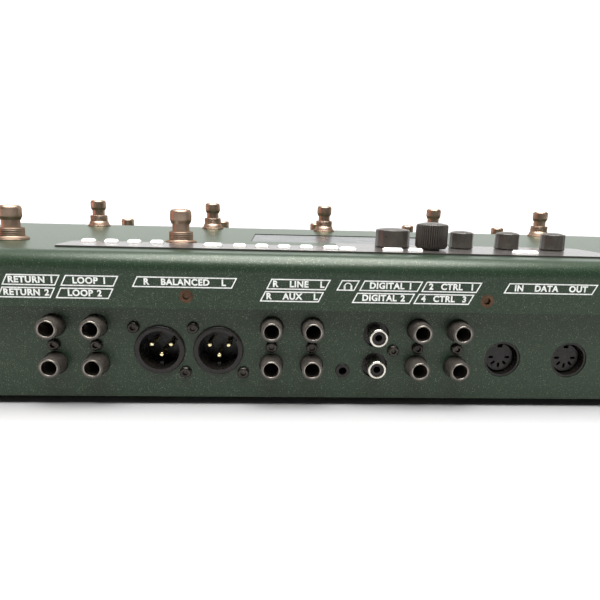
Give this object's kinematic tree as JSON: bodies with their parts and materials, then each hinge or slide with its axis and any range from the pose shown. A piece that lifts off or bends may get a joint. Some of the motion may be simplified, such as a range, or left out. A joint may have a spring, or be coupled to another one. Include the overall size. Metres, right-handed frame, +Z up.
{
  "type": "multi-effects foot controller",
  "caption": "Low floor-standing foot controller: stepped metal deck of sprung foot switches, a strip of keys and knobs, and a hooded rear panel of audio and control sockets.",
  "frame": {"origin": "on the floor under the middle of the unit's bounding box", "axes": "+X to the player's right, +Y away from the player towards the socket panel, +Z up"},
  "size_m": [0.475, 0.295, 0.089],
  "materials": {
    "green_paint": "dark green textured powder coat with fine light flakes",
    "panel_plastic": "dark brown-grey satin overlay",
    "display_glass": "dark gloss glass",
    "module_metal": "plain folded aluminium",
    "circuit_board": "green solder mask with parts",
    "supply_parts": "board with wound and cased parts",
    "socket_plastic": "dark brown-black moulded, fine grain",
    "ferrule_metal": "worn nickel rim",
    "contact_gold": "pale gold plating",
    "bright_chrome": "bright nickel",
    "connector_steel": "drawn steel",
    "mains_plastic": "black moulded",
    "black_screw": "black oxide",
    "bronze_screw": "bronze-toned",
    "foot_rubber": "matt rubber",
    "switch_case": "moulded",
    "bronze_metal": "satin champagne bronze",
    "lens_plastic": "milky lens",
    "standoff_brass": "turned",
    "knob_plastic": "dark taupe, fine grain",
    "key_plastic": "white moulded"
  },
  "bodies": {
    "case": {"top_cover": "green_paint", "bottom_tray": "green_paint", "control_panel": "panel_plastic", "display_window": "display_glass", "display_module": "module_metal", "panel_board": "circuit_board", "main_board": "circuit_board", "power_supply": "supply_parts", "jack_sockets": "socket_plastic", "jack_ferrules": "ferrule_metal", "xlr_shells": "socket_plastic", "xlr_pins": "contact_gold", "phono_block": "socket_plastic", "phono_barrels": "bright_chrome", "headphone_jack": "socket_plastic", "midi_sockets": "socket_plastic", "data_sockets": "connector_steel", "mains_inlet": "mains_plastic", "power_switch_frame": "mains_plastic", "case_screws": "bronze_screw", "panel_screws": "black_screw", "rubber_feet": "foot_rubber", "footswitch_bodies": "switch_case", "footswitch_nuts": "bronze_metal", "status_leds": "lens_plastic", "standoffs": "standoff_brass", "rotary_controls": "switch_case"},
    "power_rocker": {"power_rocker": "mains_plastic"},
    "volume_knob": {"volume_knob": "knob_plastic"},
    "browse_shaft": {"browse_shaft": "connector_steel"},
    "browse_knob": {"browse_knob": "knob_plastic"},
    "soft_knob_1": {"soft_knob_1": "knob_plastic"},
    "soft_knob_2": {"soft_knob_2": "knob_plastic"},
    "soft_knob_3": {"soft_knob_3": "knob_plastic"},
    "key_a1": {"key_a1": "key_plastic"},
    "key_a2": {"key_a2": "key_plastic"},
    "key_a3": {"key_a3": "key_plastic"},
    "key_a4": {"key_a4": "key_plastic"},
    "key_b": {"key_b": "key_plastic"},
    "key_c1": {"key_c1": "key_plastic"},
    "key_c2": {"key_c2": "key_plastic"},
    "key_c3": {"key_c3": "key_plastic"},
    "key_c4": {"key_c4": "key_plastic"},
    "key_d1": {"key_d1": "key_plastic"},
    "key_d2": {"key_d2": "key_plastic"},
    "key_e1": {"key_e1": "key_plastic"},
    "key_e2": {"key_e2": "key_plastic"},
    "key_f": {"key_f": "key_plastic"},
    "footswitch_front_1": {"footswitch_front_1": "bronze_metal"},
    "footswitch_front_2": {"footswitch_front_2": "bronze_metal"},
    "footswitch_front_3": {"footswitch_front_3": "bronze_metal"},
    "footswitch_front_4": {"footswitch_front_4": "bronze_metal"},
    "footswitch_front_5": {"footswitch_front_5": "bronze_metal"},
    "footswitch_middle_1": {"footswitch_middle_1": "bronze_metal"},
    "footswitch_middle_2": {"footswitch_middle_2": "bronze_metal"},
    "footswitch_middle_3": {"footswitch_middle_3": "bronze_metal"},
    "footswitch_middle_4": {"footswitch_middle_4": "bronze_metal"},
    "footswitch_middle_5": {"footswitch_middle_5": "bronze_metal"},
    "footswitch_rear_1": {"footswitch_rear_1": "bronze_metal"},
    "footswitch_rear_2": {"footswitch_rear_2": "bronze_metal"}
  },
  "joints": [
    {"name": "footswitch_front_1_press", "type": "slide", "parent": "case", "child": "footswitch_front_1", "axis": [0, 0, -1], "range_m": [0, 0.0025], "stiffness_N_per_m": 3000, "springref_m": -0.001},
    {"name": "footswitch_front_2_press", "type": "slide", "parent": "case", "child": "footswitch_front_2", "axis": [0, 0, -1], "range_m": [0, 0.0025], "stiffness_N_per_m": 3000, "springref_m": -0.001},
    {"name": "footswitch_front_3_press", "type": "slide", "parent": "case", "child": "footswitch_front_3", "axis": [0, 0, -1], "range_m": [0, 0.0025], "stiffness_N_per_m": 3000, "springref_m": -0.001},
    {"name": "footswitch_front_4_press", "type": "slide", "parent": "case", "child": "footswitch_front_4", "axis": [0, 0, -1], "range_m": [0, 0.0025], "stiffness_N_per_m": 3000, "springref_m": -0.001},
    {"name": "footswitch_front_5_press", "type": "slide", "parent": "case", "child": "footswitch_front_5", "axis": [0, 0, -1], "range_m": [0, 0.0025], "stiffness_N_per_m": 3000, "springref_m": -0.001},
    {"name": "footswitch_middle_1_press", "type": "slide", "parent": "case", "child": "footswitch_middle_1", "axis": [0, 0.007, -1], "range_m": [0, 0.0025], "stiffness_N_per_m": 3000, "springref_m": -0.001},
    {"name": "footswitch_middle_2_press", "type": "slide", "parent": "case", "child": "footswitch_middle_2", "axis": [0, 0.007, -1], "range_m": [0, 0.0025], "stiffness_N_per_m": 3000, "springref_m": -0.001},
    {"name": "footswitch_middle_3_press", "type": "slide", "parent": "case", "child": "footswitch_middle_3", "axis": [0, 0.007, -1], "range_m": [0, 0.0025], "stiffness_N_per_m": 3000, "springref_m": -0.001},
    {"name": "footswitch_middle_4_press", "type": "slide", "parent": "case", "child": "footswitch_middle_4", "axis": [0, 0.007, -1], "range_m": [0, 0.0025], "stiffness_N_per_m": 3000, "springref_m": -0.001},
    {"name": "footswitch_middle_5_press", "type": "slide", "parent": "case", "child": "footswitch_middle_5", "axis": [0, 0.007, -1], "range_m": [0, 0.0025], "stiffness_N_per_m": 3000, "springref_m": -0.001},
    {"name": "footswitch_rear_1_press", "type": "slide", "parent": "case", "child": "footswitch_rear_1", "axis": [0, 0.007, -1], "range_m": [0, 0.0025], "stiffness_N_per_m": 3000, "springref_m": -0.001},
    {"name": "footswitch_rear_2_press", "type": "slide", "parent": "case", "child": "footswitch_rear_2", "axis": [0, 0.007, -1], "range_m": [0, 0.0025], "stiffness_N_per_m": 3000, "springref_m": -0.001},
    {"name": "key_a1_press", "type": "slide", "parent": "case", "child": "key_a1", "axis": [0, 0.007, -1], "range_m": [0, 0.0006], "stiffness_N_per_m": 1500, "springref_m": -0.0003},
    {"name": "key_a2_press", "type": "slide", "parent": "case", "child": "key_a2", "axis": [0, 0.007, -1], "range_m": [0, 0.0006], "stiffness_N_per_m": 1500, "springref_m": -0.0003},
    {"name": "key_a3_press", "type": "slide", "parent": "case", "child": "key_a3", "axis": [0, 0.007, -1], "range_m": [0, 0.0006], "stiffness_N_per_m": 1500, "springref_m": -0.0003},
    {"name": "key_a4_press", "type": "slide", "parent": "case", "child": "key_a4", "axis": [0, 0.007, -1], "range_m": [0, 0.0006], "stiffness_N_per_m": 1500, "springref_m": -0.0003},
    {"name": "key_b_press", "type": "slide", "parent": "case", "child": "key_b", "axis": [0, 0.007, -1], "range_m": [0, 0.0006], "stiffness_N_per_m": 1500, "springref_m": -0.0003},
    {"name": "key_c1_press", "type": "slide", "parent": "case", "child": "key_c1", "axis": [0, 0.007, -1], "range_m": [0, 0.0006], "stiffness_N_per_m": 1500, "springref_m": -0.0003},
    {"name": "key_c2_press", "type": "slide", "parent": "case", "child": "key_c2", "axis": [0, 0.007, -1], "range_m": [0, 0.0006], "stiffness_N_per_m": 1500, "springref_m": -0.0003},
    {"name": "key_c3_press", "type": "slide", "parent": "case", "child": "key_c3", "axis": [0, 0.007, -1], "range_m": [0, 0.0006], "stiffness_N_per_m": 1500, "springref_m": -0.0003},
    {"name": "key_c4_press", "type": "slide", "parent": "case", "child": "key_c4", "axis": [0, 0.007, -1], "range_m": [0, 0.0006], "stiffness_N_per_m": 1500, "springref_m": -0.0003},
    {"name": "key_d1_press", "type": "slide", "parent": "case", "child": "key_d1", "axis": [0, 0.007, -1], "range_m": [0, 0.0006], "stiffness_N_per_m": 1500, "springref_m": -0.0003},
    {"name": "key_d2_press", "type": "slide", "parent": "case", "child": "key_d2", "axis": [0, 0.007, -1], "range_m": [0, 0.0006], "stiffness_N_per_m": 1500, "springref_m": -0.0003},
    {"name": "key_e1_press", "type": "slide", "parent": "case", "child": "key_e1", "axis": [0, 0.007, -1], "range_m": [0, 0.0006], "stiffness_N_per_m": 1500, "springref_m": -0.0003},
    {"name": "key_e2_press", "type": "slide", "parent": "case", "child": "key_e2", "axis": [0, 0.007, -1], "range_m": [0, 0.0006], "stiffness_N_per_m": 1500, "springref_m": -0.0003},
    {"name": "key_f_press", "type": "slide", "parent": "case", "child": "key_f", "axis": [0, 0.007, -1], "range_m": [0, 0.0006], "stiffness_N_per_m": 1500, "springref_m": -0.0003},
    {"name": "browse_shaft_press", "type": "slide", "parent": "case", "child": "browse_shaft", "axis": [0, 0.007, -1], "range_m": [0, 0.0005], "stiffness_N_per_m": 4000, "springref_m": -0.0003},
    {"name": "volume_knob_turn", "type": "hinge", "parent": "case", "child": "volume_knob", "pos_m": [-0.0244, 0.10097, 0.07555], "axis": [0, -0.007, 1], "range_deg": [-150, 150]},
    {"name": "browse_knob_turn", "type": "hinge", "parent": "browse_shaft", "child": "browse_knob", "pos_m": [-0.0421, 0.10994, 0.07861], "axis": [0, -0.007, 1], "continuous": true},
    {"name": "soft_knob_1_turn", "type": "hinge", "parent": "case", "child": "soft_knob_1", "pos_m": [-0.0611, 0.09997, 0.07554], "axis": [0, -0.007, 1], "continuous": true},
    {"name": "soft_knob_2_turn", "type": "hinge", "parent": "case", "child": "soft_knob_2", "pos_m": [-0.0861, 0.09897, 0.07553], "axis": [0, -0.007, 1], "continuous": true},
    {"name": "soft_knob_3_turn", "type": "hinge", "parent": "case", "child": "soft_knob_3", "pos_m": [-0.111, 0.09897, 0.07553], "axis": [0, -0.007, 1], "continuous": true},
    {"name": "power_rocker_turn", "type": "hinge", "parent": "case", "child": "power_rocker", "pos_m": [-0.222, 0.138, 0.028], "axis": [1, 0, 0], "range_deg": [0, 16]}
  ]
}
